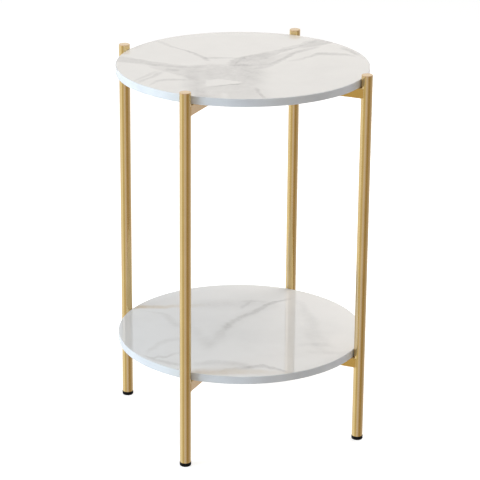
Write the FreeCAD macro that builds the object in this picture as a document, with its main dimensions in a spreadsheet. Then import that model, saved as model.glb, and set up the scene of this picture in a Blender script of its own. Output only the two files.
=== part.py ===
import FreeCAD, Part
import Sketcher
import math
import os

# Round two-tier side table: two marble-faced panels in a welded frame of round legs and crossed bars.
# The origin lies on the floor under the centre, +Z is up, +X points to the right leg, -Y to the front leg.

# Driving dimensions in millimetres
sizes = {
    # Panels: total thickness, and the height of each marble face above the floor
    "panel_diameter": 380,
    "panel_thickness": 12,
    "marble_face_thickness": 0.8,
    "backing_thickness": 0.5,
    "edge_band_thickness": 1,
    "edge_band_rounding": 0.6,
    "glue_gap": 0.05,
    "top_height": 575,
    "shelf_height": 148.5,
    # Leg tubes: the gap to the panel rims, and the rise above the top panel
    "leg_diameter": 16.8,
    "leg_wall": 1.2,
    "leg_rise": 7,
    "rim_gap": 0.3,
    # Finned plugs that hold the caps and feet in the tubes
    "plug_clearance": 0.1,
    "plug_wall": 1.5,
    "fin_depth": 0.8,
    "fin_thickness": 1.2,
    # Leg caps
    "cap_head_thickness": 2,
    "cap_rounding": 0.6,
    "cap_plug_length": 10,
    # Feet: the lip stands out past the tube
    "foot_height": 6,
    "foot_lip": 0.4,
    "foot_rounding": 2,
    "foot_plug_length": 15,
    # Square tube bars
    "bar_side": 16.4,
    "bar_wall": 1.2,
    "bar_rounding": 1.8,
    "weld_gap": 0.05,
    # Panel screws: the tip stops short of the marble face
    "screw_ring_diameter": 240,
    "screw_diameter": 4,
    "screw_clearance": 0.25,
    "screw_head_diameter": 8,
    "screw_head_height": 2.4,
    "screw_head_rounding": 1.2,
    "screw_point_length": 2.5,
    "screw_tip_cover": 3,
    "pilot_spare_depth": 0.5,
    "access_hole_diameter": 10,
}
cap_fins = 2
foot_fins = 3
arms = 4
# Sketches are drawn at unit size and take their real size from the sheet
unit = 1
# No edge is rounded by more than this share of the thickness that carries it
rounding_limit_share = 0.8

doc = FreeCAD.newDocument("side_table")
sheet = doc.addObject("Spreadsheet::Sheet", "sizes")
for row, (alias, value) in enumerate(sizes.items(), start=1):
    sheet.set(f"A{row}", alias)
    sheet.set(f"B{row}", str(value))
    sheet.setAlias(f"B{row}", alias)
doc.recompute()

# Derived dimensions that several pieces share
leg_ring_radius = "(sizes.panel_diameter / 2 + sizes.rim_gap + sizes.leg_diameter / 2)"
leg_bore_radius = "(sizes.leg_diameter / 2 - sizes.leg_wall)"
leg_top = "(sizes.top_height + sizes.leg_rise)"
board_diameter = "(sizes.panel_diameter - 2 * sizes.edge_band_thickness - 2 * sizes.glue_gap)"
board_thickness = "(sizes.panel_thickness - sizes.marble_face_thickness - sizes.backing_thickness)"
screw_ring_radius = "(sizes.screw_ring_diameter / 2)"
screw_hole_diameter = "(sizes.screw_diameter + 2 * sizes.screw_clearance)"
screw_bite = "(sizes.panel_thickness - sizes.screw_tip_cover)"


def bind(item, expressions):
    """Tie an object's properties to the size sheet."""
    for name, expression in expressions.items():
        item.setExpression(name, expression)


def new_body(label):
    body = doc.addObject("PartDesign::Body", label)
    body.Label = label
    body.AllowCompound = True
    return body


def datum(body, role):
    return next(item for item in body.Origin.OriginFeatures if item.Role == role)


def new_sketch(body, role, offset):
    """Sketch on one of the body's own planes, with its origin moved by the offset expressions."""
    sketch = body.newObject("Sketcher::SketchObject", "sketch")
    sketch.AttachmentSupport = (datum(body, role), [""])
    sketch.MapMode = "FlatFace"
    bind(sketch, {f"AttachmentOffset.Base.{axis}": length for axis, length in offset.items()})
    return sketch


def tie(sketch, constraint, expression):
    index = sketch.addConstraint(constraint)
    sketch.setExpression(f"Constraints[{index}]", expression)


def tie_point(sketch, shape, point, across, up):
    """Hold a point of the sketch at (across, up) from its origin."""
    for kind, axis, distance in (("DistanceX", -2, across), ("DistanceY", -1, up)):
        if distance == "0":
            sketch.addConstraint(Sketcher.Constraint("PointOnObject", shape, point, axis))
        else:
            tie(sketch, Sketcher.Constraint(kind, -1, 1, shape, point, unit), distance)


def add_circle(sketch, diameter, across="0"):
    shape = sketch.addGeometry(Part.Circle(FreeCAD.Vector(0, 0, 0), FreeCAD.Vector(0, 0, 1), unit))
    tie(sketch, Sketcher.Constraint("Diameter", shape, 2 * unit), diameter)
    tie_point(sketch, shape, 3, across, "0")


def add_outline(sketch, corners):
    """Closed outline through corners given as (across, up), drawn as a unit polygon and then tied."""
    turns = [math.tau * index / len(corners) for index in range(len(corners))]
    starts = [FreeCAD.Vector(unit * math.cos(turn), unit * math.sin(turn), 0) for turn in turns]
    ends = starts[1:] + starts[:1]
    lines = [sketch.addGeometry(Part.LineSegment(start, end)) for start, end in zip(starts, ends)]
    for line, following in zip(lines, lines[1:] + lines[:1]):
        sketch.addConstraint(Sketcher.Constraint("Coincident", line, 2, following, 1))
    for line, (across, up) in zip(lines, corners):
        tie_point(sketch, line, 1, across, up)


def add_pad(body, sketch, length):
    feature = body.newObject("PartDesign::Pad", "pad")
    feature.Profile = sketch
    feature.setExpression("Length", length)
    doc.recompute()
    return feature


def add_pocket(body, sketch, depth=None, upward=False):
    """Cut along the sketch's normal, or against it, to a depth or right through."""
    before = body.Shape.Volume
    feature = body.newObject("PartDesign::Pocket", "pocket")
    feature.Profile = sketch
    feature.Reversed = upward
    if depth is None:
        feature.Type = "ThroughAll"
    else:
        feature.setExpression("Length", depth)
    doc.recompute()
    if not body.Shape.Volume < before:
        raise RuntimeError(f"a cut in {body.Label} removes nothing")
    return feature


def add_revolution(body, sketch):
    feature = body.newObject("PartDesign::Revolution", "revolution")
    feature.Profile = sketch
    feature.ReferenceAxis = (sketch, ["V_Axis"])
    feature.Angle = 360
    doc.recompute()
    return feature


def add_rounding(body, rank, count, radius, carrier):
    """Round the count edges that rank highest, by no more than their carrier's thickness allows."""
    base = body.Tip
    edges = base.Shape.Edges
    order = sorted(range(len(edges)), key=lambda index: rank(edges[index]))
    feature = body.newObject("PartDesign::Fillet", "rounding")
    feature.Base = (base, [f"Edge{index + 1}" for index in order[-count:]])
    feature.setExpression("Radius", f"min({radius}; {carrier} * {rounding_limit_share})")
    doc.recompute()
    return feature


def add_ring_of(body, feature):
    """Repeat a feature once for each arm of the frame."""
    pattern = body.newObject("PartDesign::PolarPattern", "ring")
    pattern.Originals = [feature]
    pattern.Axis = (datum(body, "Z_Axis"), [""])
    pattern.Angle = 360
    pattern.Occurrences = arms
    body.Tip = pattern
    doc.recompute()


def place(body, x="0", y="0", z="0", axis=FreeCAD.Vector(0, 0, 1), turn=0):
    body.Placement.Rotation = FreeCAD.Rotation(axis, turn)
    bind(body, {"Placement.Base.x": x, "Placement.Base.y": y, "Placement.Base.z": z})
    doc.recompute()


def rim_length(edge):
    """Rank level rims by length and put every other edge first."""
    return edge.Length if edge.isClosed() else 0


def depth(edge):
    """Rank edges so that the lowest level one comes last."""
    return -edge.BoundBox.ZMax


def distance_from_bar_axis(edge):
    """Rank a bar's lengthwise edges by how far they lie from its axis and put every other edge first."""
    lengthwise = edge.BoundBox.XLength > edge.BoundBox.YLength + edge.BoundBox.ZLength
    return math.hypot(edge.BoundBox.YMax, edge.BoundBox.ZMax) if lengthwise else 0


# Panels
# Each is a board with a marble-look sheet on top, a plain balancing sheet below and a white band round it.
def make_disc(label, thickness, level, screw_holes):
    body = new_body(label)
    sketch = new_sketch(body, "XY_Plane", {})
    add_circle(sketch, board_diameter)
    add_pad(body, sketch, thickness)
    if screw_holes:
        sketch = new_sketch(body, "XY_Plane", {})
        add_circle(sketch, screw_hole_diameter, across=screw_ring_radius)
        hole = add_pocket(body, sketch, screw_holes, upward=True)
        add_ring_of(body, hole)
    place(body, z=level)
    return body


def make_edge_band(label, underside):
    body = new_body(label)
    sketch = new_sketch(body, "XY_Plane", {})
    add_circle(sketch, "sizes.panel_diameter")
    add_circle(sketch, "sizes.panel_diameter - 2 * sizes.edge_band_thickness")
    add_pad(body, sketch, "sizes.panel_thickness")
    add_rounding(body, rim_length, 2, "sizes.edge_band_rounding", "sizes.edge_band_thickness")
    place(body, z=underside)
    return body


def make_panel(name, height):
    underside = f"({height} - sizes.panel_thickness)"
    board_bottom = f"({underside} + sizes.backing_thickness)"
    face_bottom = f"({height} - sizes.marble_face_thickness)"
    pilot_depth = f"({screw_bite} + sizes.pilot_spare_depth - sizes.backing_thickness)"
    return [
        make_disc(f"{name}_backing_sheet", "sizes.backing_thickness", underside, "sizes.backing_thickness"),
        make_disc(f"{name}_board", board_thickness, board_bottom, pilot_depth),
        make_disc(f"{name}_marble_face", "sizes.marble_face_thickness", face_bottom, None),
        make_edge_band(f"{name}_edge_band", underside),
    ]


# Finned plugs
# A hollow core with sloped fins, which grips the bore of the leg tube from either end.
core_radius = f"({leg_bore_radius} - sizes.plug_clearance - sizes.fin_depth)"
fin_radius = f"({leg_bore_radius} - sizes.plug_clearance)"


def add_plug_fins(body, seat, length, count):
    """Fins evenly spaced along the plug, each square towards the tube's end and sloped on its lead."""
    pitch = f"({length} / {count + 1})"
    root = f"({core_radius} - sizes.plug_wall / 2)"
    sketch = new_sketch(body, "XZ_Plane", {"y": f"{seat} + {pitch}"})
    add_outline(sketch, [
        (root, "0"),
        (fin_radius, "0"),
        (fin_radius, "sizes.fin_thickness / 2"),
        (root, "sizes.fin_thickness"),
    ])
    fin = add_revolution(body, sketch)
    pattern = body.newObject("PartDesign::LinearPattern", "fins")
    pattern.Originals = [fin]
    pattern.Direction = (datum(body, "Z_Axis"), [""])
    pattern.Mode = "Spacing"
    pattern.setExpression("Offset", pitch)
    pattern.Occurrences = count
    body.Tip = pattern
    doc.recompute()


def make_stopper(label, head_radius, head, rounding, length, fins):
    """Head that closes a tube's end, and the finned plug above it."""
    body = new_body(label)
    plug_bore = f"({core_radius} - sizes.plug_wall)"
    sketch = new_sketch(body, "XZ_Plane", {})
    add_outline(sketch, [
        ("0", "0"),
        (head_radius, "0"),
        (head_radius, head),
        (core_radius, head),
        (core_radius, f"{head} + {length}"),
        (plug_bore, f"{head} + {length}"),
        (plug_bore, head),
        ("0", head),
    ])
    add_revolution(body, sketch)
    add_rounding(body, depth, 1, rounding, head)
    add_plug_fins(body, head, length, fins)
    return body


# Legs
# Four round tubes stand just outside the rims, each with a cap pressed in above and a foot below.
def make_leg(side, across, along):
    x = f"{across} * {leg_ring_radius}"
    y = f"{along} * {leg_ring_radius}"
    tube = new_body(f"leg_{side}")
    sketch = new_sketch(tube, "XY_Plane", {})
    add_circle(sketch, "sizes.leg_diameter")
    add_circle(sketch, f"2 * {leg_bore_radius}")
    add_pad(tube, sketch, f"{leg_top} - sizes.cap_head_thickness - sizes.foot_height")
    place(tube, x, y, "sizes.foot_height")

    cap = make_stopper(f"leg_cap_{side}", "sizes.leg_diameter / 2", "sizes.cap_head_thickness",
                       "sizes.cap_rounding", "sizes.cap_plug_length", cap_fins)
    place(cap, x, y, leg_top, axis=FreeCAD.Vector(1, 0, 0), turn=180)

    foot = make_stopper(f"foot_{side}", "sizes.leg_diameter / 2 + sizes.foot_lip", "sizes.foot_height",
                        "sizes.foot_rounding", "sizes.foot_plug_length", foot_fins)
    place(foot, x, y)
    return [tube, cap, foot]


# Crossed bars
# Square tubes lie under each panel: one from leg to leg, and two that butt on its sides at the centre.
# The ends are coped to the round legs, and each arm has a screw hole above an access hole.
def make_bar(label, start, coped_ends, level, turn):
    body = new_body(label)
    sketch = new_sketch(body, "YZ_Plane", {"z": start})
    for side in ("sizes.bar_side / 2", "(sizes.bar_side / 2 - sizes.bar_wall)"):
        add_outline(sketch, [(f"-{side}", f"-{side}"), (side, f"-{side}"), (side, side), (f"-{side}", side)])
    add_pad(body, sketch, f"{leg_ring_radius} - {start}")
    add_rounding(body, distance_from_bar_axis, 4, "sizes.bar_rounding", "sizes.bar_side / 2")

    cope = new_sketch(body, "XY_Plane", {"z": "-sizes.bar_side"})
    access = new_sketch(body, "XY_Plane", {})
    screw_holes = new_sketch(body, "XY_Plane", {})
    for end in coped_ends:
        add_circle(cope, "sizes.leg_diameter + 2 * sizes.weld_gap", across=f"{end} * {leg_ring_radius}")
        add_circle(access, "sizes.access_hole_diameter", across=f"{end} * {screw_ring_radius}")
        add_circle(screw_holes, screw_hole_diameter, across=f"{end} * {screw_ring_radius}")
    add_pocket(body, cope, upward=True)
    add_pocket(body, access)
    add_pocket(body, screw_holes, upward=True)
    place(body, z=level, turn=turn)
    return body


# Panel screws
# Pan heads bear on the inside of each bar's upper wall, and the shanks run up into the board.
def make_screws(label, underside):
    body = new_body(label)
    radius = "sizes.screw_diameter / 2"
    head_radius = "sizes.screw_head_diameter / 2"
    tip = f"(sizes.screw_head_height + sizes.bar_wall + {screw_bite})"
    sketch = new_sketch(body, "XZ_Plane", {"x": screw_ring_radius})
    add_outline(sketch, [
        ("0", "0"),
        (head_radius, "0"),
        (head_radius, "sizes.screw_head_height"),
        (radius, "sizes.screw_head_height"),
        (radius, f"{tip} - sizes.screw_point_length"),
        ("0", tip),
    ])
    add_revolution(body, sketch)
    screw = add_rounding(body, depth, 1, "sizes.screw_head_rounding", "sizes.screw_head_height")
    screw.SupportTransform = True
    add_ring_of(body, screw)
    place(body, z=f"{underside} - sizes.bar_wall - sizes.screw_head_height")
    return body


def make_tier(panel, frame, height):
    underside = f"({height} - sizes.panel_thickness)"
    level = f"{underside} - sizes.bar_side / 2"
    butt = "sizes.bar_side / 2"
    return make_panel(panel, height) + [
        make_bar(f"{frame}_long_bar", f"-{leg_ring_radius}", (1, -1), level, 0),
        make_bar(f"{frame}_short_bar_back", butt, (1,), level, 90),
        make_bar(f"{frame}_short_bar_front", butt, (1,), level, -90),
        make_screws(f"{panel}_panel_screws", underside),
    ]


pieces = make_tier("top", "upper", "sizes.top_height") + make_tier("shelf", "lower", "sizes.shelf_height")
for side, across, along in (("front", 0, -1), ("right", 1, 0), ("back", 0, 1), ("left", -1, 0)):
    pieces += make_leg(side, across, along)

doc.recompute()
for item in doc.Objects:
    if "Invalid" in item.State or "Error" in item.State:
        raise RuntimeError(f"{item.Label} failed: {item.State}")
for piece in pieces:
    if piece.Shape.isNull() or not piece.Shape.isValid():
        raise RuntimeError(f"{piece.Label} has no valid shape")

os.makedirs("parts", exist_ok=True)
for piece in pieces:
    piece.Shape.exportStep(f"parts/{piece.Label}.step")
    print(piece.Label, len(piece.Shape.Solids), round(piece.Shape.Volume, 1))
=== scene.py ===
import math

import bpy
from mathutils import Matrix, Vector


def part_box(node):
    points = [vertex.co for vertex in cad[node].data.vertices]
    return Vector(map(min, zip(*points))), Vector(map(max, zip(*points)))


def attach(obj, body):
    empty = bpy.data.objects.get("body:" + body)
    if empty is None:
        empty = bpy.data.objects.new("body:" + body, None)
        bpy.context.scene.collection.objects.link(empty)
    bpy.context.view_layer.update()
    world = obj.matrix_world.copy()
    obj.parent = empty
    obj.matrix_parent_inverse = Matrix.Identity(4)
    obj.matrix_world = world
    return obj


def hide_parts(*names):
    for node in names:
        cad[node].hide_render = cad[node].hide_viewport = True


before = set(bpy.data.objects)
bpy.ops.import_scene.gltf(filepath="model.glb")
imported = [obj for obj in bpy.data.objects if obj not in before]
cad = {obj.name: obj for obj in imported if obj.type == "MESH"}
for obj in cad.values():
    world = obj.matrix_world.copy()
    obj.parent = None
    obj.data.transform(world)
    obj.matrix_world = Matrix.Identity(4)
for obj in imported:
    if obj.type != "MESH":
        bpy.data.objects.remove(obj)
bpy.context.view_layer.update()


# Legs: four lengths of thin round steel tube, cut square and plated in satin gold.
# Each stands just outside the rims of the panels, with a bar welded to it at two levels.
leg_names = ("leg_front", "leg_right", "leg_back", "leg_left")
gold_bright = (226, 200, 145)
gold_deep = (221, 195, 140)
gold_patch_size = 0.035
gold_smudge_size = 0.012
gold_grain_range = (0.3, 0.7)
gold_roughness = (0.15, 0.20)
drawn_line_size = 0.0006
drawn_line_stretch = 40.0
drawn_line_depth = 0.00001
drawn_line_strength = 0.03


def screen_colour(colour):
    shares = [value / 255.0 for value in colour]
    linear = [s / 12.92 if s <= 0.04045 else ((s + 0.055) / 1.055) ** 2.4 for s in shares]
    return (linear[0], linear[1], linear[2], 1.0)


def add_node(tree, kind, inputs, **settings):
    node = tree.nodes.new(kind)
    for name, value in settings.items():
        setattr(node, name, value)
    for key, value in inputs.items():
        if isinstance(value, bpy.types.NodeSocket):
            tree.links.new(value, node.inputs[key])
        else:
            node.inputs[key].default_value = value
    return node


def new_finish(name, constants):
    finish = bpy.data.materials.new(name)
    finish.use_nodes = True
    tree = finish.node_tree
    shader = tree.nodes["Principled BSDF"]
    for key, value in constants.items():
        shader.inputs[key].default_value = value
    place = tree.nodes.new("ShaderNodeTexCoord").outputs["Object"]
    return finish, tree, shader, place


def moved_place(tree, place, stretch=(1, 1, 1), turn=0.0):
    inputs = {"Vector": place, "Scale": stretch, "Rotation": (0, 0, turn)}
    return add_node(tree, "ShaderNodeMapping", inputs).outputs["Vector"]


def grain(tree, place, size, detail=2.0, harshness=0.5):
    inputs = {"Vector": place, "Scale": 1.0 / size, "Detail": detail, "Roughness": harshness}
    return add_node(tree, "ShaderNodeTexNoise", inputs).outputs["Fac"]


def spread(tree, amount, made=(0.0, 1.0), seen=(0.0, 1.0), smooth=False):
    inputs = {"Value": amount, 1: seen[0], 2: seen[1], 3: made[0], 4: made[1]}
    kind = "SMOOTHSTEP" if smooth else "LINEAR"
    return add_node(tree, "ShaderNodeMapRange", inputs, interpolation_type=kind).outputs[0]


def mixed_colour(tree, amount, first, second):
    first = screen_colour(first) if isinstance(first, tuple) else first
    second = screen_colour(second) if isinstance(second, tuple) else second
    inputs = {0: amount, 6: first, 7: second}
    return add_node(tree, "ShaderNodeMix", inputs, data_type="RGBA").outputs[2]


def relief(tree, height, depth, strength):
    inputs = {"Height": height, "Distance": depth, "Strength": strength}
    return add_node(tree, "ShaderNodeBump", inputs).outputs["Normal"]


def feed(tree, shader, sockets):
    for key, value in sockets.items():
        tree.links.new(value, shader.inputs[key])


def gold_plating(name, bright, deep, stretch):
    finish, tree, shader, place = new_finish(name, {"Metallic": 1.0, "IOR": 1.5})
    patches = spread(tree, grain(tree, place, gold_patch_size, detail=3.0), seen=gold_grain_range)
    lines = grain(tree, moved_place(tree, place, stretch), drawn_line_size, harshness=0.6)
    smears = grain(tree, place, gold_smudge_size, detail=4.0, harshness=0.6)
    smudges = spread(tree, smears, seen=gold_grain_range)
    feed(tree, shader, {
        "Base Color": mixed_colour(tree, patches, deep, bright),
        "Roughness": spread(tree, smudges, gold_roughness),
        "Normal": relief(tree, lines, drawn_line_depth, drawn_line_strength),
    })
    return finish


def dress(names, finish):
    for name in names:
        slots = cad[name].data.materials
        slots.clear()
        slots.append(finish)


leg_gold = gold_plating("leg_gold", gold_bright, gold_deep, (1, 1, 1 / drawn_line_stretch))
dress(leg_names, leg_gold)


# Leg caps: thin turned metal discs with a finned plug, plated with the same gold.
# Each is pressed into the top of its tube and closes it with a flat, slightly rounded head.
cap_names = ("leg_cap_front", "leg_cap_right", "leg_cap_back", "leg_cap_left")
cap_bright = (225, 198, 158)
cap_deep = (218, 188, 146)

cap_gold = gold_plating("cap_gold", cap_bright, cap_deep, (1, 1, 1))
dress(cap_names, cap_gold)


# Feet: black moulded plastic glides, a low rounded button on a finned plug.
# Each is pushed into the bottom of its tube and carries the table on the floor.
foot_names = ("foot_front", "foot_right", "foot_back", "foot_left")
foot_black = (4, 4, 5)
foot_scuffed = (13, 13, 14)
foot_scuff_size = 0.004
foot_scuff_range = (0.5, 0.75)
foot_roughness = (0.55, 0.75)
foot_pore_size = 0.0007
foot_pore_depth = 0.00005
foot_pore_strength = 0.4

foot_constants = {"IOR": 1.5, "Specular IOR Level": 0.15}
foot_plastic, tree, shader, place = new_finish("foot_plastic", foot_constants)
rubbing = grain(tree, place, foot_scuff_size, detail=4.0, harshness=0.7)
scuffs = spread(tree, rubbing, seen=foot_scuff_range)
pores = grain(tree, place, foot_pore_size)
feed(tree, shader, {
    "Base Color": mixed_colour(tree, scuffs, foot_black, foot_scuffed),
    "Roughness": spread(tree, scuffs, foot_roughness),
    "Normal": relief(tree, pores, foot_pore_depth, foot_pore_strength),
})
dress(foot_names, foot_plastic)


# Bars: square steel tube, one long bar from leg to leg and two short ones welded to its sides.
# Their ends are cut to the round of the legs and welded there, and all is plated gold together.
long_bars = ("upper_long_bar", "lower_long_bar")
short_bars = (
    "upper_short_bar_front",
    "upper_short_bar_back",
    "lower_short_bar_front",
    "lower_short_bar_back",
)
# The long bars take a deeper gold than the rest of the frame: partly a duller finish, partly painted
# shade from the panels above.
shaded_bar_bright = (221, 188, 128)
shaded_bar_deep = (215, 181, 121)

shaded_long_bar_gold = gold_plating("shaded_long_bar_gold", shaded_bar_bright, shaded_bar_deep, (1 / drawn_line_stretch, 1, 1))
short_bar_gold = gold_plating("short_bar_gold", gold_bright, gold_deep, (1, 1 / drawn_line_stretch, 1))
dress(long_bars, shaded_long_bar_gold)
dress(short_bars, short_bar_gold)


# Welds: thin rippled beads that join the bars to the legs and the short bars to the long ones.
# Each runs down one side of a bar, under it and up the other side, and is plated with the frame.
# The upper side has none, because the panel lies there.
weld_gold = gold_plating("weld_gold", gold_bright, gold_deep, (1, 1, 1))
weld_gap = 0.00005
flat_seat_radius = 1.0
bar_levels = 2
corner_points = 5
seam_points = 150
bead_sides = 10
bead_crease = 0.8
leg_low, leg_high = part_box("leg_right")
lower_low, lower_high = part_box("lower_long_bar")
upper_low, upper_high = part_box("upper_long_bar")
leg_weld_sizes = {
    "Bar Side": lower_high.z - lower_low.z,
    "Bar Rounding": 0.0018,
    "Seat Distance": leg_low.x - weld_gap,
    "Seat Radius": (leg_high.y - leg_low.y) / 2 + weld_gap,
    "Bead Radius": 0.0007,
    "Ripple Length": 0.0014,
    "Ripple Depth": 0.14,
    "Top Clearance": 0.0022,
    "Lower Level": (lower_low.z + lower_high.z) / 2,
    "Upper Level": (upper_low.z + upper_high.z) / 2,
    "Arms": 4,
    "First Turn": 0.0,
    "Plating": weld_gold,
}
centre_weld_sizes = dict(leg_weld_sizes)
centre_weld_sizes["Seat Distance"] = (lower_high.y - lower_low.y) / 2
centre_weld_sizes["Seat Radius"] = flat_seat_radius
centre_weld_sizes["Arms"] = 2
centre_weld_sizes["First Turn"] = math.radians(90)
socket_kinds = {
    float: "NodeSocketFloat",
    int: "NodeSocketInt",
    bpy.types.Material: "NodeSocketMaterial",
}


def calc(tree, operation, first, second=0.0, third=0.0):
    inputs = {0: first, 1: second, 2: third}
    return add_node(tree, "ShaderNodeMath", inputs, operation=operation).outputs[0]


def joined_place(tree, across=0.0, along=0.0, up=0.0):
    return add_node(tree, "ShaderNodeCombineXYZ", {0: across, 1: along, 2: up}).outputs[0]


def sides_of(tree, place):
    return add_node(tree, "ShaderNodeSeparateXYZ", {0: place}).outputs


def point_place(tree):
    return tree.nodes.new("GeometryNodeInputPosition").outputs[0]


def copy_number(tree):
    return tree.nodes.new("GeometryNodeInputIndex").outputs[0]


def new_maker(name, sizes):
    tree = bpy.data.node_groups.new(name, "GeometryNodeTree")
    tree.interface.new_socket("Shape", in_out="OUTPUT", socket_type="NodeSocketGeometry")
    for size_name, value in sizes.items():
        tree.interface.new_socket(size_name, in_out="INPUT", socket_type=socket_kinds[type(value)])
    return tree, tree.nodes.new("NodeGroupInput").outputs


def swept(tree, path, profile_radius, sides, share):
    circle = {"Resolution": sides, "Radius": profile_radius}
    profile = add_node(tree, "GeometryNodeCurvePrimitiveCircle", circle).outputs[0]
    inputs = {"Curve": path, "Profile Curve": profile, "Scale": share, "Fill Caps": True}
    return add_node(tree, "GeometryNodeCurveToMesh", inputs).outputs[0]


def smooth_shape(tree, shape, edge_angle):
    smooth = add_node(tree, "GeometryNodeSetShadeSmooth", {"Geometry": shape}).outputs[0]
    bend = tree.nodes.new("GeometryNodeInputMeshEdgeAngle").outputs[0]
    sharp = calc(tree, "GREATER_THAN", bend, edge_angle)
    inputs = {"Geometry": smooth, "Selection": sharp, "Shade Smooth": False}
    return add_node(tree, "GeometryNodeSetShadeSmooth", inputs, domain="EDGE").outputs[0]


def spread_copies(tree, shape, count, place, turn):
    spots = add_node(tree, "GeometryNodePoints", {"Count": count, "Position": place}).outputs[0]
    inputs = {"Points": spots, "Instance": shape, "Rotation": joined_place(tree, up=turn)}
    return add_node(tree, "GeometryNodeInstanceOnPoints", inputs).outputs[0]


def end_maker(tree, shape, finish):
    whole = add_node(tree, "GeometryNodeRealizeInstances", {"Geometry": shape}).outputs[0]
    inputs = {"Geometry": whole, "Material": finish}
    dressed = add_node(tree, "GeometryNodeSetMaterial", inputs).outputs[0]
    add_node(tree, "NodeGroupOutput", {0: dressed})


def made_piece(name, tree, sizes):
    piece = bpy.data.objects.new(name, bpy.data.meshes.new(name))
    bpy.context.scene.collection.objects.link(piece)
    maker = piece.modifiers.new("maker", "NODES")
    maker.node_group = tree
    for socket in tree.interface.items_tree:
        if socket.in_out == "INPUT":
            maker[socket.identifier] = sizes[socket.name]
    made = piece.evaluated_get(bpy.context.evaluated_depsgraph_get())
    mesh = bpy.data.meshes.new_from_object(made)
    piece.modifiers.remove(maker)
    piece.data = mesh
    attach(piece, "root")
    return piece


tree, size = new_maker("weld_maker", leg_weld_sizes)
square = {"Width": size["Bar Side"], "Height": size["Bar Side"]}
outline = add_node(tree, "GeometryNodeCurvePrimitiveQuadrilateral", square).outputs[0]
corners = {"Curve": outline, "Count": corner_points, "Radius": size["Bar Rounding"]}
outline = add_node(tree, "GeometryNodeFilletCurve", corners, mode="POLY").outputs[0]
steps = {"Curve": outline, "Count": seam_points}
outline = add_node(tree, "GeometryNodeResampleCurve", steps).outputs[0]
flat = sides_of(tree, point_place(tree))
seat_square = calc(tree, "POWER", size["Seat Radius"], 2.0)
offset_square = calc(tree, "POWER", flat[0], 2.0)
reach = calc(tree, "SQRT", calc(tree, "SUBTRACT", seat_square, offset_square))
seat_axis = calc(tree, "ADD", size["Seat Distance"], size["Seat Radius"])
seam_place = joined_place(tree, calc(tree, "SUBTRACT", seat_axis, reach), flat[0], flat[1])
seam_inputs = {"Geometry": outline, "Position": seam_place}
seam = add_node(tree, "GeometryNodeSetPosition", seam_inputs).outputs[0]
height = sides_of(tree, point_place(tree))[2]
half_side = calc(tree, "MULTIPLY", size["Bar Side"], 0.5)
bead_end = calc(tree, "SUBTRACT", half_side, size["Top Clearance"])
upper_side = {"Geometry": seam, "Selection": calc(tree, "GREATER_THAN", height, bead_end)}
seam = add_node(tree, "GeometryNodeDeleteGeometry", upper_side).outputs[0]
seam = add_node(tree, "GeometryNodeSetSplineCyclic", {"Geometry": seam, "Cyclic": False}).outputs[0]
run = tree.nodes.new("GeometryNodeSplineParameter").outputs["Length"]
phase = calc(tree, "DIVIDE", calc(tree, "MULTIPLY", run, math.tau), size["Ripple Length"])
swell = calc(tree, "MULTIPLY_ADD", calc(tree, "SINE", phase), size["Ripple Depth"], 1.0)
bead = swept(tree, seam, size["Bead Radius"], bead_sides, swell)
bead = smooth_shape(tree, bead, bead_crease)
number = copy_number(tree)
storey = calc(tree, "MODULO", number, bar_levels)
rise = calc(tree, "SUBTRACT", size["Upper Level"], size["Lower Level"])
level = calc(tree, "MULTIPLY_ADD", storey, rise, size["Lower Level"])
arm = calc(tree, "FLOOR", calc(tree, "DIVIDE", number, bar_levels))
arm_turn = calc(tree, "DIVIDE", math.tau, size["Arms"])
turn = calc(tree, "MULTIPLY_ADD", arm, arm_turn, size["First Turn"])
bead_count = calc(tree, "MULTIPLY", size["Arms"], bar_levels)
beads = spread_copies(tree, bead, bead_count, joined_place(tree, up=level), turn)
end_maker(tree, beads, size["Plating"])
made_piece("leg_welds", tree, leg_weld_sizes)
made_piece("centre_welds", tree, centre_weld_sizes)


# Boards: two discs of medium-density fibreboard, sawn round and bored for the panel screws.
# The faces, backing sheets and edge bands are glued on, so bare board shows only in the holes.
board_names = ("top_board", "shelf_board")
board_light = (176, 142, 100)
board_dark = (134, 101, 64)
fibre_size = 0.0011
fibre_range = (0.3, 0.7)
fibre_depth = 0.0002
fibre_strength = 0.6
clump_size = 0.009
board_roughness = (0.75, 0.95)

fibreboard, tree, shader, place = new_finish("fibreboard", {"IOR": 1.45})
fibres = grain(tree, place, fibre_size, detail=4.0, harshness=0.7)
clumps = grain(tree, place, clump_size, detail=3.0)
fibre_share = spread(tree, fibres, seen=fibre_range)
feed(tree, shader, {
    "Base Color": mixed_colour(tree, fibre_share, board_dark, board_light),
    "Roughness": spread(tree, clumps, board_roughness),
    "Normal": relief(tree, fibres, fibre_depth, fibre_strength),
})
dress(board_names, fibreboard)


# Backing sheets: resin-soaked white paper, pressed on the underside of each board.
# It balances the face sheet, so that the board stays flat, and its surface is dull and fine.
backing_names = ("top_backing_sheet", "shelf_backing_sheet")
backing_white = (226, 226, 223)
backing_shade = (214, 213, 209)
mottle_size = 0.02
mottle_range = (0.35, 0.65)
backing_roughness = (0.5, 0.62)
tooth_size = 0.0006
tooth_depth = 0.00004
tooth_strength = 0.4

backing_paper, tree, shader, place = new_finish("backing_paper", {"IOR": 1.45})
clouding = grain(tree, place, mottle_size, detail=4.0, harshness=0.6)
mottle = spread(tree, clouding, seen=mottle_range)
tooth = grain(tree, place, tooth_size)
feed(tree, shader, {
    "Base Color": mixed_colour(tree, mottle, backing_white, backing_shade),
    "Roughness": spread(tree, mottle, backing_roughness),
    "Normal": relief(tree, tooth, tooth_depth, tooth_strength),
})
dress(backing_names, backing_paper)
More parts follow.
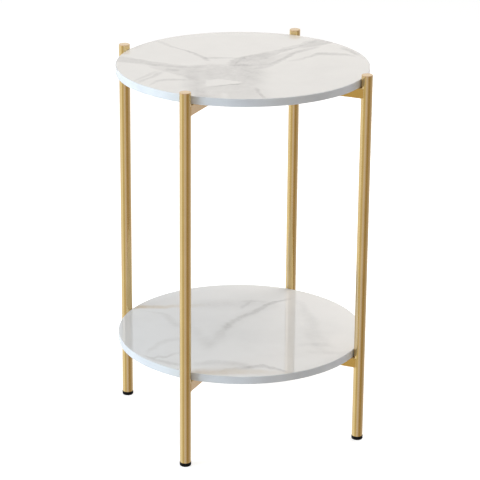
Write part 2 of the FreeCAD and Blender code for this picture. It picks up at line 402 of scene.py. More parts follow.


# Marble faces: a hard glossy sheet with a printed marble pattern, glued on top of each board.
# Soft grey veins run over a warm white ground, differently on the top and on the shelf; the shelf's
# ground also holds painted light, greyer on the left and whiter on the right.
# The pattern is set out as the viewer sees it, who stands 24 degrees round from the front leg.
panel_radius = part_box("top_edge_band")[1].x
view_turn = math.radians(24.18)
top_ground = (235, 232, 228)
top_vein_grey = (184, 180, 177)
# The shelf's ground runs from a cool grey on the left to a warm white on the right: painted light,
# shaded on the left and lit on the right.
shelf_shaded_left = (224, 226, 229)
shelf_lit_right = (250, 247, 244)
shelf_vein_grey = (180, 178, 177)
# A beige for the shelf's beige vein and for a streak of painted shade beside the left leg.
beige_of_veins_and_shade = (206, 190, 164)
broad_wander = {"size": 0.11, "reach": 0.045}
fine_wander = {"size": 0.026, "reach": 0.02}
marble_grain_range = (0.3, 0.7)
vein_fade_size = 0.05
vein_fade = (0.7, 1.3)
vein_break_size = 0.013
vein_breaks = (0.82, 1.18)
cloud_size = 0.22
cloud_range = (0.35, 0.7)
cloud_depth = (-0.04, 0.1)
marble_roughness = (0.012, 0.03)
ripple_size = 0.03
ripple_depth = 0.00004
ripple_strength = 0.2
vein_curve_ends = (-0.1, 1.1)
# A vein runs across or away from the viewer. It has a core share and points along it: place, offset,
# half width and depth, all in shares of the panel's radius and of the full vein colour.
top_grey_veins = (
    ("away", 0.2, (
        (0.03, -0.26, 0.03, 0.0), (0.08, -0.275, 0.036, 0.4), (0.15, -0.31, 0.036, 0.5),
        (0.215, -0.35, 0.034, 0.5), (0.32, -0.4, 0.034, 0.48), (0.4, -0.46, 0.034, 0.46),
        (0.44, -0.515, 0.036, 0.42), (0.49, -0.57, 0.038, 0.38), (0.59, -0.645, 0.04, 0.32),
        (0.67, -0.7, 0.04, 0.24), (0.75, -0.76, 0.04, 0.0),
    )),
    ("across", 0.5, (
        (-1.0, 0.10, 0.11, 0.4), (-0.82, 0.04, 0.085, 0.44), (-0.687, -0.025, 0.07, 0.4),
        (-0.55, -0.07, 0.06, 0.28), (-0.4, -0.09, 0.05, 0.22), (-0.3, -0.09, 0.05, 0.16),
        (-0.2, -0.1, 0.05, 0.0),
    )),
    ("across", 0.6, (
        (-0.82, 0.0, 0.05, 0.0), (-0.704, -0.09, 0.08, 0.24), (-0.584, -0.17, 0.14, 0.34),
        (-0.446, -0.25, 0.2, 0.4), (-0.395, -0.3, 0.24, 0.34), (-0.33, -0.3, 0.26, 0.14),
        (-0.26, -0.3, 0.26, 0.0),
    )),
    ("away", 0.35, (
        (-1.0, -0.09, 0.36, 0.3), (-0.7, -0.10, 0.36, 0.36), (-0.45, -0.10, 0.36, 0.42),
        (-0.3, -0.11, 0.38, 0.43), (-0.16, -0.13, 0.36, 0.42), (-0.05, -0.14, 0.28, 0.3),
        (0.06, -0.13, 0.16, 0.0),
    )),
    ("away", 0.2, (
        (-1.0, -0.29, 0.1, 0.28), (-0.82, -0.34, 0.11, 0.32), (-0.65, -0.385, 0.11, 0.3),
        (-0.49, -0.4, 0.11, 0.26), (-0.36, -0.41, 0.1, 0.14), (-0.26, -0.41, 0.1, 0.0),
    )),
    ("away", 0.2, (
        (-0.7, 0.02, 0.1, 0.0), (-0.42, 0.08, 0.11, 0.08), (-0.2, 0.05, 0.12, 0.1),
        (-0.05, -0.02, 0.1, 0.12), (0.06, -0.05, 0.08, 0.0),
    )),
    ("across", 0.2, (
        (-0.27, -0.70, 0.022, 0.0), (-0.2, -0.66, 0.022, 0.3), (-0.10, -0.61, 0.024, 0.4),
        (-0.02, -0.575, 0.022, 0.3), (0.02, -0.56, 0.02, 0.0),
    )),
    ("away", 0.2, (
        (-0.98, 0.16, 0.022, 0.3), (-0.9, 0.15, 0.026, 0.42), (-0.8, 0.12, 0.028, 0.4),
        (-0.70, 0.10, 0.024, 0.2), (-0.64, 0.09, 0.02, 0.0),
    )),
    ("across", 0.6, (
        (-0.15, -0.02, 0.04, 0.0), (-0.1, 0.05, 0.08, 0.14), (-0.03, 0.12, 0.1, 0.17),
        (0.05, 0.165, 0.115, 0.18), (0.137, 0.21, 0.124, 0.19), (0.22, 0.29, 0.108, 0.22),
        (0.29, 0.38, 0.08, 0.24), (0.34, 0.45, 0.065, 0.26), (0.446, 0.545, 0.075, 0.28),
        (0.515, 0.61, 0.13, 0.36), (0.6, 0.66, 0.13, 0.42), (0.687, 0.7, 0.1, 0.42),
        (0.8, 0.78, 0.08, 0.3),
    )),
    ("across", 0.72, (
        (-0.14, -0.01, 0.05, 0.0), (-0.09, 0.02, 0.1, 0.34), (-0.02, 0.06, 0.15, 0.42),
        (0.06, 0.085, 0.19, 0.43), (0.155, 0.12, 0.215, 0.43), (0.215, 0.16, 0.213, 0.36),
        (0.275, 0.225, 0.183, 0.26), (0.326, 0.285, 0.156, 0.18), (0.378, 0.36, 0.115, 0.14),
        (0.446, 0.45, 0.09, 0.12), (0.6, 0.62, 0.09, 0.12), (0.8, 0.76, 0.08, 0.1),
    )),
    ("across", 0.2, (
        (0.04, -0.16, 0.05, 0.0), (0.1, -0.135, 0.06, 0.28), (0.15, -0.11, 0.07, 0.35),
        (0.21, -0.05, 0.075, 0.41), (0.275, 0.06, 0.08, 0.48), (0.335, 0.19, 0.08, 0.54),
        (0.375, 0.275, 0.07, 0.54), (0.425, 0.36, 0.065, 0.5), (0.48, 0.405, 0.06, 0.46),
        (0.54, 0.45, 0.06, 0.42), (0.61, 0.52, 0.06, 0.26), (0.68, 0.58, 0.05, 0.0),
    )),
    ("across", 0.2, (
        (-0.09, -0.06, 0.05, 0.0), (-0.06, 0.0, 0.05, 0.2), (-0.02, 0.12, 0.05, 0.26),
        (0.06, 0.235, 0.035, 0.2), (0.14, 0.32, 0.03, 0.16), (0.29, 0.41, 0.028, 0.2),
        (0.41, 0.485, 0.03, 0.26), (0.48, 0.585, 0.035, 0.26), (0.58, 0.70, 0.035, 0.2),
        (0.66, 0.77, 0.03, 0.0),
    )),
    ("across", 0.1, (
        (0.3, 0.07, 0.04, 0.0), (0.37, 0.1, 0.05, 0.2), (0.45, 0.14, 0.05, 0.3),
        (0.517, 0.21, 0.05, 0.44), (0.575, 0.285, 0.055, 0.54), (0.64, 0.315, 0.062, 0.62),
        (0.735, 0.31, 0.065, 0.56), (0.815, 0.29, 0.055, 0.42), (0.89, 0.25, 0.05, 0.22),
        (0.96, 0.2, 0.04, 0.0),
    )),
    ("across", 0.1, (
        (0.75, 0.55, 0.05, 0.0), (0.8, 0.5, 0.07, 0.34), (0.845, 0.43, 0.08, 0.5),
        (0.885, 0.36, 0.08, 0.52), (0.93, 0.29, 0.07, 0.4), (0.98, 0.2, 0.05, 0.1),
    )),
    ("across", 0.3, (
        (-0.35, 0.15, 0.034, 0.0), (-0.3, 0.158, 0.036, 0.24), (-0.2, 0.165, 0.038, 0.36),
        (-0.1, 0.165, 0.036, 0.34), (-0.05, 0.165, 0.034, 0.24), (0.0, 0.17, 0.03, 0.0),
    )),
    ("across", 0.2, (
        (-0.88, -0.6, 0.05, 0.0), (-0.81, -0.49, 0.06, 0.24), (-0.76, -0.41, 0.06, 0.28),
        (-0.715, -0.335, 0.06, 0.28), (-0.67, -0.275, 0.06, 0.22), (-0.61, -0.22, 0.05, 0.0),
    )),
    ("across", 0.2, (
        (-0.84, -0.62, 0.04, 0.0), (-0.782, -0.535, 0.05, 0.3), (-0.734, -0.47, 0.05, 0.38),
        (-0.69, -0.39, 0.055, 0.46), (-0.655, -0.335, 0.07, 0.48), (-0.62, -0.3, 0.07, 0.2),
        (-0.58, -0.28, 0.06, 0.0),
    )),
    ("across", 0.2, (
        (-0.74, -0.68, 0.05, 0.0), (-0.705, -0.62, 0.055, 0.22), (-0.67, -0.555, 0.055, 0.34),
        (-0.625, -0.497, 0.045, 0.4), (-0.555, -0.478, 0.036, 0.42), (-0.491, -0.482, 0.036, 0.38),
        (-0.446, -0.486, 0.036, 0.22), (-0.4, -0.49, 0.03, 0.0),
    )),
    ("across", 0.2, (
        (-0.63, -0.19, 0.05, 0.0), (-0.59, -0.195, 0.05, 0.3), (-0.555, -0.2, 0.05, 0.4),
        (-0.52, -0.205, 0.05, 0.3), (-0.47, -0.21, 0.04, 0.0),
    )),
)
top_light_patches = (
    ("across", 0.6, (
        (-0.30, -0.575, 0.08, 0.0), (-0.27, -0.575, 0.11, 0.36), (-0.17, -0.54, 0.1, 0.42),
        (-0.10, -0.535, 0.065, 0.42), (-0.03, -0.53, 0.03, 0.36), (0.0, -0.525, 0.02, 0.0),
    )),
    ("away", 0.1, (
        (-1.0, -0.13, 0.05, 0.2), (-0.88, -0.14, 0.05, 0.25), (-0.8, -0.15, 0.03, 0.0),
    )),
    ("across", 0.1, (
        (0.24, 0.26, 0.02, 0.0), (0.3, 0.31, 0.03, 0.2), (0.39, 0.42, 0.035, 0.24),
        (0.44, 0.5, 0.03, 0.2), (0.48, 0.54, 0.03, 0.0),
    )),
)
shelf_grey_veins = (
    ("away", 0.1, (
        (-0.54, -0.28, 0.06, 0.0), (-0.446, -0.258, 0.06, 0.08), (-0.309, -0.215, 0.06, 0.12),
        (-0.189, -0.178, 0.06, 0.15), (-0.034, -0.138, 0.06, 0.28), (0.086, -0.098, 0.058, 0.36),
        (0.206, -0.022, 0.058, 0.36), (0.326, 0.082, 0.058, 0.38), (0.446, 0.165, 0.06, 0.42),
        (0.567, 0.268, 0.06, 0.5), (0.652, 0.38, 0.055, 0.36), (0.73, 0.46, 0.04, 0.0),
    )),
    ("away", 0.0, (
        (-0.55, -0.3, 0.1, 0.0), (-0.309, -0.22, 0.13, 0.1), (-0.034, -0.144, 0.13, 0.12),
        (0.326, 0.07, 0.14, 0.12), (0.67, 0.36, 0.12, 0.0),
    )),
    ("away", 0.0, (
        (-0.46, -0.28, 0.06, 0.0), (-0.36, -0.29, 0.08, 0.1), (-0.25, -0.31, 0.1, 0.16),
        (-0.12, -0.34, 0.1, 0.16), (0.0, -0.36, 0.09, 0.1), (0.1, -0.37, 0.06, 0.0),
    )),
    ("across", 0.0, (
        (-0.62, 0.49, 0.1, 0.0), (-0.45, 0.51, 0.14, 0.14), (-0.3, 0.52, 0.17, 0.2),
        (-0.1, 0.52, 0.17, 0.22), (0.05, 0.53, 0.15, 0.2), (0.2, 0.57, 0.1, 0.12),
        (0.3, 0.6, 0.08, 0.0),
    )),
    ("across", 0.1, (
        (-0.05, 0.57, 0.04, 0.0), (0.03, 0.6, 0.04, 0.16), (0.12, 0.62, 0.04, 0.2),
        (0.2, 0.6, 0.04, 0.12), (0.27, 0.57, 0.04, 0.0),
    )),
    ("away", 0.1, (
        (0.4, -0.01, 0.03, 0.0), (0.46, 0.01, 0.034, 0.2), (0.56, 0.06, 0.036, 0.22),
        (0.64, 0.11, 0.03, 0.0),
    )),
    ("away", 0.0, (
        (-0.02, -0.49, 0.06, 0.0), (0.05, -0.52, 0.065, 0.16), (0.14, -0.565, 0.065, 0.22),
        (0.25, -0.61, 0.065, 0.22), (0.32, -0.68, 0.07, 0.18), (0.36, -0.78, 0.07, 0.12),
        (0.4, -0.84, 0.06, 0.0),
    )),
    ("across", 0.0, (
        (-0.78, -0.54, 0.08, 0.0), (-0.72, -0.46, 0.09, 0.2), (-0.66, -0.36, 0.09, 0.24),
        (-0.58, -0.27, 0.085, 0.22), (-0.48, -0.22, 0.08, 0.16), (-0.34, -0.2, 0.07, 0.0),
    )),
    ("across", 0.1, (
        (-0.81, -0.55, 0.03, 0.0), (-0.75, -0.62, 0.04, 0.34), (-0.7, -0.64, 0.04, 0.38),
        (-0.65, -0.6, 0.04, 0.34), (-0.6, -0.61, 0.04, 0.34), (-0.54, -0.55, 0.036, 0.26),
        (-0.46, -0.53, 0.034, 0.12), (-0.4, -0.53, 0.03, 0.0),
    )),
    ("across", 0.1, (
        (-0.75, -0.67, 0.04, 0.0), (-0.68, -0.68, 0.044, 0.3), (-0.6, -0.71, 0.046, 0.38),
        (-0.52, -0.75, 0.046, 0.36), (-0.44, -0.78, 0.04, 0.0),
    )),
    ("across", 0.1, (
        (-0.3, -0.9, 0.05, 0.0), (-0.15, -0.875, 0.05, 0.14), (-0.04, -0.85, 0.05, 0.25),
        (0.07, -0.815, 0.05, 0.38), (0.17, -0.78, 0.05, 0.46), (0.24, -0.81, 0.048, 0.46),
        (0.33, -0.87, 0.044, 0.36), (0.42, -0.92, 0.036, 0.14),
    )),
    ("across", 0.0, (
        (-0.44, -0.77, 0.06, 0.0), (-0.34, -0.755, 0.075, 0.22), (-0.17, -0.725, 0.085, 0.32),
        (-0.03, -0.75, 0.08, 0.32), (0.07, -0.8, 0.07, 0.24), (0.14, -0.84, 0.05, 0.0),
    )),
    ("away", 0.0, (
        (-0.44, 0.73, 0.07, 0.0), (-0.309, 0.687, 0.08, 0.09), (-0.103, 0.611, 0.085, 0.12),
        (0.172, 0.584, 0.085, 0.17), (0.378, 0.549, 0.08, 0.16), (0.584, 0.5, 0.07, 0.14),
        (0.72, 0.47, 0.06, 0.0),
    )),
    ("away", 0.0, (
        (-0.56, 0.7, 0.06, 0.0), (-0.446, 0.652, 0.065, 0.12), (-0.24, 0.577, 0.065, 0.12),
        (0.0, 0.52, 0.06, 0.08), (0.12, 0.5, 0.05, 0.0),
    )),
    ("across", 0.0, (
        (0.42, -0.35, 0.05, 0.0), (0.5, -0.34, 0.05, 0.1), (0.63, -0.325, 0.06, 0.17),
        (0.77, -0.37, 0.05, 0.0),
    )),
    ("across", 0.0, (
        (0.48, -0.45, 0.05, 0.0), (0.58, -0.49, 0.06, 0.09), (0.7, -0.51, 0.06, 0.13),
        (0.8, -0.5, 0.05, 0.09), (0.88, -0.47, 0.05, 0.0),
    )),
)
shelf_beige_veins_and_leg_shade = (
    # The first streak, at the left rim, is painted shade running in from the left leg; the second is a
    # beige vein along the front.
    ("across", 0.1, (
        (-1.0, 0.43, 0.065, 0.75), (-0.95, 0.44, 0.062, 0.75), (-0.8, 0.455, 0.058, 0.66),
        (-0.652, 0.46, 0.056, 0.48), (-0.515, 0.485, 0.06, 0.32), (-0.38, 0.5, 0.06, 0.16),
        (-0.22, 0.52, 0.06, 0.0),
    )),
    ("across", 0.1, (
        (-0.5, -0.9, 0.09, 0.15), (-0.38, -0.92, 0.1, 0.34), (-0.2, -0.92, 0.1, 0.46),
        (-0.05, -0.91, 0.1, 0.44), (0.06, -0.9, 0.09, 0.36), (0.2, -0.91, 0.09, 0.26),
        (0.34, -0.93, 0.08, 0.16), (0.45, -0.95, 0.06, 0.0),
    )),
)


def calc_place(tree, operation, first, second):
    return add_node(tree, "ShaderNodeVectorMath", {0: first, 1: second}, operation=operation).outputs[0]


def drawn_curve(tree, along, points):
    node = add_node(tree, "ShaderNodeFloatCurve", {"Value": along})
    node.mapping.extend = "HORIZONTAL"
    line = node.mapping.curves[0]
    line.points[0].location = (vein_curve_ends[0], points[0][1])
    line.points[-1].location = (vein_curve_ends[1], points[-1][1])
    for point in points:
        line.points.new(*point).handle_type = "AUTO_CLAMPED"
    node.mapping.use_clip = False
    node.mapping.update()
    return node.outputs[0]


def vein_depth(tree, sides, veins):
    total = 0.0
    for course, core, points in veins:
        along, beside = (sides[0], sides[1]) if course == "across" else (sides[1], sides[0])
        places = [(point[0] + 1) / 2 for point in points]
        line = drawn_curve(tree, along, [(x, (p[1] + 1) / 2) for x, p in zip(places, points)])
        width = drawn_curve(tree, along, [(x, p[2] / 2) for x, p in zip(places, points)])
        depth = drawn_curve(tree, along, [(x, p[3]) for x, p in zip(places, points)])
        gap = calc(tree, "ABSOLUTE", calc(tree, "SUBTRACT", beside, line))
        share = calc(tree, "DIVIDE", gap, width)
        shade = spread(tree, share, (1.0, 0.0), (core, 1.0), smooth=True)
        total = calc(tree, "MULTIPLY_ADD", shade, depth, total)
    return total


def wandering(tree, place, size, reach):
    inputs = {"Vector": place, "Scale": 1.0 / size, "Detail": 5.0, "Roughness": 0.65}
    drift = add_node(tree, "ShaderNodeTexNoise", inputs).outputs["Color"]
    centred = calc_place(tree, "SUBTRACT", drift, (0.5, 0.5, 0.5))
    return calc_place(tree, "ADD", place, calc_place(tree, "MULTIPLY", centred, (reach, reach, 0)))


def printed_marble(name, left_ground_and_light, right_ground_and_light, vein_grey, grey_veins, light_patches, beige_veins_and_shade):
    finish, tree, shader, place = new_finish(name, {"IOR": 1.62})
    share = 0.5 / panel_radius
    flat = moved_place(tree, place, (share, share, 0), -view_turn)
    bent = wandering(tree, calc_place(tree, "ADD", flat, (0.5, 0.5, 0)), **broad_wander)
    sides = sides_of(tree, wandering(tree, bent, **fine_wander))
    cloud = grain(tree, flat, cloud_size, detail=5.0, harshness=0.6)
    fading = grain(tree, flat, vein_fade_size, detail=4.0, harshness=0.6)
    fade = spread(tree, fading, vein_fade, marble_grain_range)
    breaking = grain(tree, flat, vein_break_size, detail=3.0, harshness=0.6)
    breaks = spread(tree, breaking, vein_breaks, marble_grain_range)
    depth = vein_depth(tree, sides, grey_veins)
    if light_patches:
        depth = calc(tree, "SUBTRACT", depth, vein_depth(tree, sides, light_patches))
    veined = calc(tree, "MULTIPLY", calc(tree, "MULTIPLY", depth, fade), breaks)
    clouded = calc(tree, "ADD", veined, spread(tree, cloud, cloud_depth, cloud_range))
    # The ground runs from the left colour to the right one; on the shelf this is painted light, shaded
    # on the left and lit on the right.
    ground_and_light = mixed_colour(tree, sides[0], left_ground_and_light, right_ground_and_light)
    colour = mixed_colour(tree, spread(tree, clouded), ground_and_light, vein_grey)
    # Beige marks go on last: on the shelf a beige vein along the front and painted shade running in from
    # the left leg.
    if beige_veins_and_shade:
        beige = calc(tree, "MULTIPLY", vein_depth(tree, sides, beige_veins_and_shade), fade)
        colour = mixed_colour(tree, spread(tree, beige), colour, beige_of_veins_and_shade)
    ripple = grain(tree, place, ripple_size, detail=1.0)
    feed(tree, shader, {
        "Base Color": colour,
        "Roughness": spread(tree, cloud, marble_roughness, marble_grain_range),
        "Normal": relief(tree, ripple, ripple_depth, ripple_strength),
    })
    return finish


top_marble = printed_marble(
    "top_marble", top_ground, top_ground, top_vein_grey, top_grey_veins, top_light_patches, ()
)
shelf_marble = printed_marble(
    "shelf_marble", shelf_shaded_left, shelf_lit_right, shelf_vein_grey, shelf_grey_veins, (), shelf_beige_veins_and_leg_shade
)
dress(("top_marble_face",), top_marble)
dress(("shelf_marble_face",), shelf_marble)


# Edge bands: a strip of glossy white plastic bent round each panel and glued to the board's rim.
# Its two edges are trimmed flush with the faces and eased by hand.
band_names = ("top_edge_band", "shelf_edge_band")
band_white = (232, 233, 235)
band_shade = (224, 225, 228)
band_tint_size = 0.05
band_tint_range = (0.35, 0.65)
band_roughness = (0.16, 0.24)
band_wave_size = 0.006
band_wave_depth = 0.00004
band_wave_strength = 0.3

band_plastic, tree, shader, place = new_finish("band_plastic", {"IOR": 1.5})
tint = spread(tree, grain(tree, place, band_tint_size), seen=band_tint_range)
wave = grain(tree, place, band_wave_size)
feed(tree, shader, {
    "Base Color": mixed_colour(tree, tint, band_white, band_shade),
    "Roughness": spread(tree, tint, band_roughness),
    "Normal": relief(tree, wave, band_wave_depth, band_wave_strength),
})
dress(band_names, band_plastic)


# Panel screws: zinc-plated steel with a rounded head, a cross recess and a coarse thread.
# Four hold each panel, driven up through the bars into the board, so their heads face down.
zinc_light = (196, 199, 203)
zinc_dark = (160, 164, 170)
spangle_size = 0.0015
spangle_range = (0.35, 0.65)
spangle_depth = 0.00002
spangle_strength = 0.3
zinc_roughness = (0.28, 0.42)

screw_zinc, tree, shader, place = new_finish("screw_zinc", {"Metallic": 1.0, "IOR": 1.5})
spangle = spread(tree, grain(tree, place, spangle_size, detail=3.0), seen=spangle_range)
feed(tree, shader, {
    "Base Color": mixed_colour(tree, spangle, zinc_light, zinc_dark),
    "Roughness": spread(tree, spangle, zinc_roughness),
    "Normal": relief(tree, spangle, spangle_depth, spangle_strength),
})
axis_points = 127
shank_sides = 32
ridge_sides = 6
ridge_steps = 24
screw_crease = 0.6
screw_sizes = {
    "Length": 0.0126,
    "Head Diameter": 0.008,
    "Head Height": 0.0024,
    "Head Rounding": 0.0012,
    "Core Diameter": 0.0031,
    "Point Length": 0.0025,
    "Point End Share": 0.06,
    "Thread Diameter": 0.004,
    "Thread Turns": 5.5,
    "Bare Point": 0.0016,
    "Ridge Radius": 0.00028,
    "Ridge Fade Start": 0.75,
    "Ridge End Share": 0.45,
    "Recess Width": 0.0009,
    "Recess Length": 0.0042,
    "Recess Depth": 0.0013,
    "Ring Radius": 0.12,
    "Lowest Level": 0.0,
    "Screws": 4,
    "Seed": 7,
    "Plating": screw_zinc,
}


def block(tree, width, length, height):
    inputs = {"Size": joined_place(tree, width, length, height)}
    return add_node(tree, "GeometryNodeMeshCube", inputs).outputs["Mesh"]


def exact_solid(tree, operation, inputs):
    settings = {"operation": operation, "solver": "EXACT"}
    return add_node(tree, "GeometryNodeMeshBoolean", inputs, **settings)


tree, size = new_maker("screw_maker", screw_sizes)
tip = {"End": joined_place(tree, up=size["Length"])}
axis = add_node(tree, "GeometryNodeCurvePrimitiveLine", tip).outputs[0]
axis = add_node(tree, "GeometryNodeResampleCurve", {"Curve": axis, "Count": axis_points}).outputs[0]
height = sides_of(tree, point_place(tree))[2]
lip = calc(tree, "MAXIMUM", calc(tree, "SUBTRACT", size["Head Rounding"], height), 0.0)
rounding_square = calc(tree, "POWER", size["Head Rounding"], 2.0)
arc_square = calc(tree, "SUBTRACT", rounding_square, calc(tree, "POWER", lip, 2.0))
arc = calc(tree, "SQRT", calc(tree, "MAXIMUM", arc_square, 0.0))
full_head = calc(tree, "MULTIPLY", size["Head Diameter"], 0.5)
head_radius = calc(tree, "ADD", calc(tree, "SUBTRACT", full_head, size["Head Rounding"]), arc)
to_tip = calc(tree, "SUBTRACT", size["Length"], height)
tip_share = calc(tree, "DIVIDE", to_tip, size["Point Length"])
taper = spread(tree, tip_share, (size["Point End Share"], 1.0))
full_core = calc(tree, "MULTIPLY", size["Core Diameter"], 0.5)
core_radius = calc(tree, "MULTIPLY", full_core, taper)
in_head = calc(tree, "LESS_THAN", height, size["Head Height"])
step = calc(tree, "SUBTRACT", head_radius, core_radius)
shank_radius = calc(tree, "MULTIPLY_ADD", in_head, step, core_radius)
body = swept(tree, axis, profile_radius=1.0, sides=shank_sides, share=shank_radius)
recess_height = calc(tree, "MULTIPLY", size["Recess Depth"], 2.0)
first_slot = block(tree, size["Recess Width"], size["Recess Length"], recess_height)
second_slot = block(tree, size["Recess Length"], size["Recess Width"], recess_height)
cutter = exact_solid(tree, "UNION", {"Mesh 2": first_slot})
tree.links.new(second_slot, cutter.inputs["Mesh 2"])
body = exact_solid(tree, "DIFFERENCE", {"Mesh 1": body, "Mesh 2": cutter.outputs[0]}).outputs[0]
shank_length = calc(tree, "SUBTRACT", size["Length"], size["Head Height"])
thread_rise = calc(tree, "SUBTRACT", shank_length, size["Bare Point"])
full_thread = calc(tree, "MULTIPLY", size["Thread Diameter"], 0.5)
ridge_path = calc(tree, "SUBTRACT", full_thread, size["Ridge Radius"])
spiral = {
    "Resolution": ridge_steps,
    "Rotations": size["Thread Turns"],
    "Start Radius": ridge_path,
    "End Radius": ridge_path,
    "Height": thread_rise,
}
ridge = add_node(tree, "GeometryNodeCurveSpiral", spiral).outputs[0]
spot = point_place(tree)
climb = calc(tree, "DIVIDE", sides_of(tree, spot)[2], thread_rise)
ridge_share = spread(tree, climb, (1.0, size["Ridge End Share"]), (size["Ridge Fade Start"], 1.0))
drawn_in = calc_place(tree, "MULTIPLY", spot, joined_place(tree, ridge_share, ridge_share, 1.0))
ridge = add_node(tree, "GeometryNodeSetPosition", {"Geometry": ridge, "Position": drawn_in}).outputs[0]
ridge = swept(tree, ridge, size["Ridge Radius"], ridge_sides, share=1.0)
lift = {"Geometry": ridge, "Translation": joined_place(tree, up=size["Head Height"])}
ridge = add_node(tree, "GeometryNodeTransform", lift).outputs[0]
screw = add_node(tree, "GeometryNodeJoinGeometry", {"Geometry": body})
tree.links.new(ridge, screw.inputs["Geometry"])
screw = smooth_shape(tree, screw.outputs[0], screw_crease)
around = calc(tree, "DIVIDE", calc(tree, "MULTIPLY", copy_number(tree), math.tau), size["Screws"])
east = calc(tree, "MULTIPLY", calc(tree, "COSINE", around), size["Ring Radius"])
north = calc(tree, "MULTIPLY", calc(tree, "SINE", around), size["Ring Radius"])
turn_inputs = {3: math.tau, "Seed": size["Seed"]}
turn = add_node(tree, "FunctionNodeRandomValue", turn_inputs, data_type="FLOAT").outputs[1]
spots = joined_place(tree, east, north, size["Lowest Level"])
end_maker(tree, spread_copies(tree, screw, size["Screws"], spots, turn), size["Plating"])
for panel_name in ("top", "shelf"):
    screw_node = panel_name + "_panel_screws"
    screw_sizes["Lowest Level"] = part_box(screw_node)[0][2]
    screw_sizes["Seed"] += 1
    screws = made_piece(panel_name + "_screws", tree, screw_sizes)
    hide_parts(screw_node)


# Studio: a pale floor in a white surround, lit softly from the left, from above and from behind.
# A tinted curtain hangs low all round and a banner higher and farther off, seen only in polished pieces.
# Angles run round from the viewer's side, to the right, in degrees.
floor_radius = 3.0
floor_corners = 128
floor_grey = 0.7
floor_glow = 0.67
pane_angle = 2
curtain_tones = (
    (-180, (0.56, 0.47, 0.33)),
    (-175, (0.52, 0.43, 0.28)),
    (-168, (0.80, 0.78, 0.74)),
    (-162, (1.0, 1.0, 1.0)),
    (-70, (1.0, 1.0, 1.0)),
    (-58, (0.74, 0.71, 0.52)),
    (-46, (0.60, 0.52, 0.27)),
    (-29, (0.70, 0.64, 0.53)),
    (-14, (0.72, 0.70, 0.80)),
    (0, (0.70, 0.69, 0.86)),
    (14, (0.61, 0.56, 0.60)),
    (29, (0.48, 0.39, 0.27)),
    (44, (0.37, 0.27, 0.12)),
    (60, (0.41, 0.32, 0.18)),
    (77, (0.47, 0.41, 0.33)),
    (97, (0.53, 0.49, 0.53)),
    (132, (0.66, 0.62, 0.74)),
    (150, (1.0, 1.0, 1.0)),
    (164, (0.84, 0.80, 0.74)),
    (180, (0.56, 0.47, 0.33)),
)
banner_tones = (
    (-140, (0.05, 0.05, 0.05)),
    (-110, (0.05, 0.05, 0.05)),
    (-100, (1.0, 1.20, 2.20)),
    (-60, (1.0, 1.20, 2.20)),
    (-50, (0.08, 0.06, 0.03)),
    (60, (0.08, 0.06, 0.03)),
    (90, (0.03, 0.03, 0.06)),
    (150, (0.03, 0.03, 0.06)),
)
fill_tint = (1, 0.99, 0.97, 1)
fill_strength = 0.42
background_white = (1, 1, 1, 1)
cool_light = (0.74, 0.89, 1.0)
warm_light = (1.0, 0.93, 0.86)
plain_light = (1.0, 0.98, 0.95)
lamp_aim = Vector((0, 0, 0.35))
toward_view = Vector((math.sin(view_turn), -math.cos(view_turn), 0))
view_right = Vector((math.cos(view_turn), math.sin(view_turn), 0))


def bearing(angle):
    turn = math.radians(angle)
    return toward_view * math.cos(turn) + view_right * math.sin(turn)


def new_mesh_object(name, corners, faces, finish):
    mesh = bpy.data.meshes.new(name)
    mesh.from_pydata(corners, [], faces)
    mesh.materials.append(finish)
    made = bpy.data.objects.new(name, mesh)
    bpy.context.scene.collection.objects.link(made)
    return made


def shows_background(tree):
    path = tree.nodes.new("ShaderNodeLightPath").outputs
    seen = calc(tree, "MAXIMUM", path["Is Camera Ray"], path["Is Glossy Ray"])
    return calc(tree, "MAXIMUM", seen, path["Is Transmission Ray"])


def tinted_ring(name, tones, distance, low, high, strength):
    finish = bpy.data.materials.new(name)
    finish.use_nodes = True
    tree = finish.node_tree
    tree.nodes.clear()
    place = tree.nodes.new("ShaderNodeTexCoord").outputs["Object"]
    ahead = moved_place(tree, place, turn=math.radians(90) - view_turn)
    round_share = add_node(tree, "ShaderNodeTexGradient", {"Vector": ahead}, gradient_type="RADIAL")
    ramp = add_node(tree, "ShaderNodeValToRGB", {"Fac": round_share.outputs["Fac"]})
    stops = ramp.color_ramp.elements
    for angle, tone in tones[1:-1]:
        stops.new(angle / 360 + 0.5).color = (*tone, 1)
    stops[0].color = (*tones[0][1], 1)
    stops[-1].color = (*tones[-1][1], 1)
    glow = add_node(tree, "ShaderNodeEmission", {"Color": ramp.outputs["Color"], "Strength": strength})
    add_node(tree, "ShaderNodeOutputMaterial", {"Surface": glow.outputs[0]})
    corners = []
    for angle in range(tones[0][0], tones[-1][0] + 1, pane_angle):
        for height in (low, high):
            corners.append(bearing(angle) * distance + Vector((0, 0, height)))
    panes = [(2 * k, 2 * k + 2, 2 * k + 3, 2 * k + 1) for k in range(len(corners) // 2 - 1)]
    ring = new_mesh_object(name, corners, panes, finish)
    ring.visible_camera = False
    ring.visible_diffuse = False
    ring.visible_shadow = False


def add_lamp(name, angle, rise, distance, size, power, colour):
    lamp = bpy.data.lights.new(name, "AREA")
    lamp.shape = "SQUARE"
    lamp.size = size
    lamp.energy = power
    lamp.color = colour
    climb = math.radians(rise)
    out = bearing(angle) * math.cos(climb) + Vector((0, 0, math.sin(climb)))
    made = bpy.data.objects.new(name, lamp)
    made.location = lamp_aim + out * distance
    made.rotation_euler = (-out).to_track_quat("-Z", "Y").to_euler()
    made.visible_glossy = False
    bpy.context.scene.collection.objects.link(made)


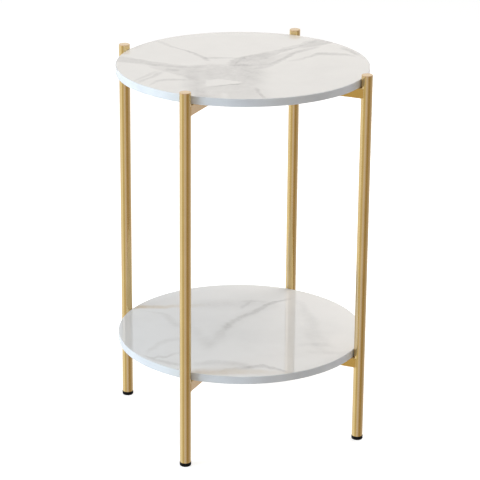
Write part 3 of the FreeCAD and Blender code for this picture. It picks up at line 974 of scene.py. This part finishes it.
floor_constants = {
    "Base Color": (floor_grey, floor_grey, floor_grey, 1),
    "Roughness": 0.9,
    "Specular IOR Level": 0.0,
    "Emission Color": background_white,
}
floor_finish, tree, shader = new_finish("floor_white", floor_constants)[:3]
floor_light = calc(tree, "MULTIPLY", shows_background(tree), floor_glow)
feed(tree, shader, {"Emission Strength": floor_light})
floor_turns = [math.tau * k / floor_corners for k in range(floor_corners)]
floor_edge = [(floor_radius * math.cos(turn), floor_radius * math.sin(turn), 0) for turn in floor_turns]
floor = new_mesh_object("floor", floor_edge, [tuple(range(floor_corners))], floor_finish)
floor.visible_glossy = False

tinted_ring("curtain", curtain_tones, distance=6.0, low=-6.0, high=0.6, strength=1.0)
tinted_ring("banner", banner_tones, distance=20.0, low=7.1, high=9.8, strength=2.0)

world = bpy.data.worlds.new("studio")
bpy.context.scene.world = world
world.use_nodes = True
tree = world.node_tree
tree.nodes.clear()
fill = add_node(tree, "ShaderNodeBackground", {"Color": fill_tint, "Strength": fill_strength})
white = add_node(tree, "ShaderNodeBackground", {"Color": background_white, "Strength": 1.0})
choice = {0: shows_background(tree), 1: fill.outputs[0], 2: white.outputs[0]}
either = add_node(tree, "ShaderNodeMixShader", choice)
add_node(tree, "ShaderNodeOutputWorld", {"Surface": either.outputs[0]})

add_lamp("left_lamp", angle=-68, rise=9, distance=2.2, size=1.2, power=34, colour=cool_light)
add_lamp("back_right_lamp", angle=142, rise=15, distance=1.9, size=1.5, power=26, colour=warm_light)
add_lamp("top_lamp", angle=0, rise=90, distance=2.0, size=1.6, power=12, colour=plain_light)


# Camera: set as the photograph was taken, a long way off and a little above the top.
# It aims near the middle of the table and is rolled by half a degree.
view_rise = math.radians(19.867)
view_roll = math.radians(0.481)
view_distance = 3.3635
aim_aside = -0.00217
aim_height = 0.2949
view_back = toward_view * math.cos(view_rise) + Vector((0, 0, math.sin(view_rise)))
view_up = view_back.cross(view_right)
lens = bpy.data.cameras.new("camera")
lens.sensor_width = 36.0
lens.lens = 164.2
lens.clip_end = 50.0
camera = bpy.data.objects.new("camera", lens)
side = view_right * math.cos(view_roll) + view_up * math.sin(view_roll)
top = view_up * math.cos(view_roll) - view_right * math.sin(view_roll)
aim = view_right * aim_aside + Vector((0, 0, aim_height))
spot = aim + view_back * view_distance
camera.matrix_world = Matrix((
    (side.x, top.x, view_back.x, spot.x),
    (side.y, top.y, view_back.y, spot.y),
    (side.z, top.z, view_back.z, spot.z),
    (0, 0, 0, 1),
))
bpy.context.scene.collection.objects.link(camera)
bpy.context.scene.camera = camera
bpy.context.scene.view_settings.view_transform = "Standard"
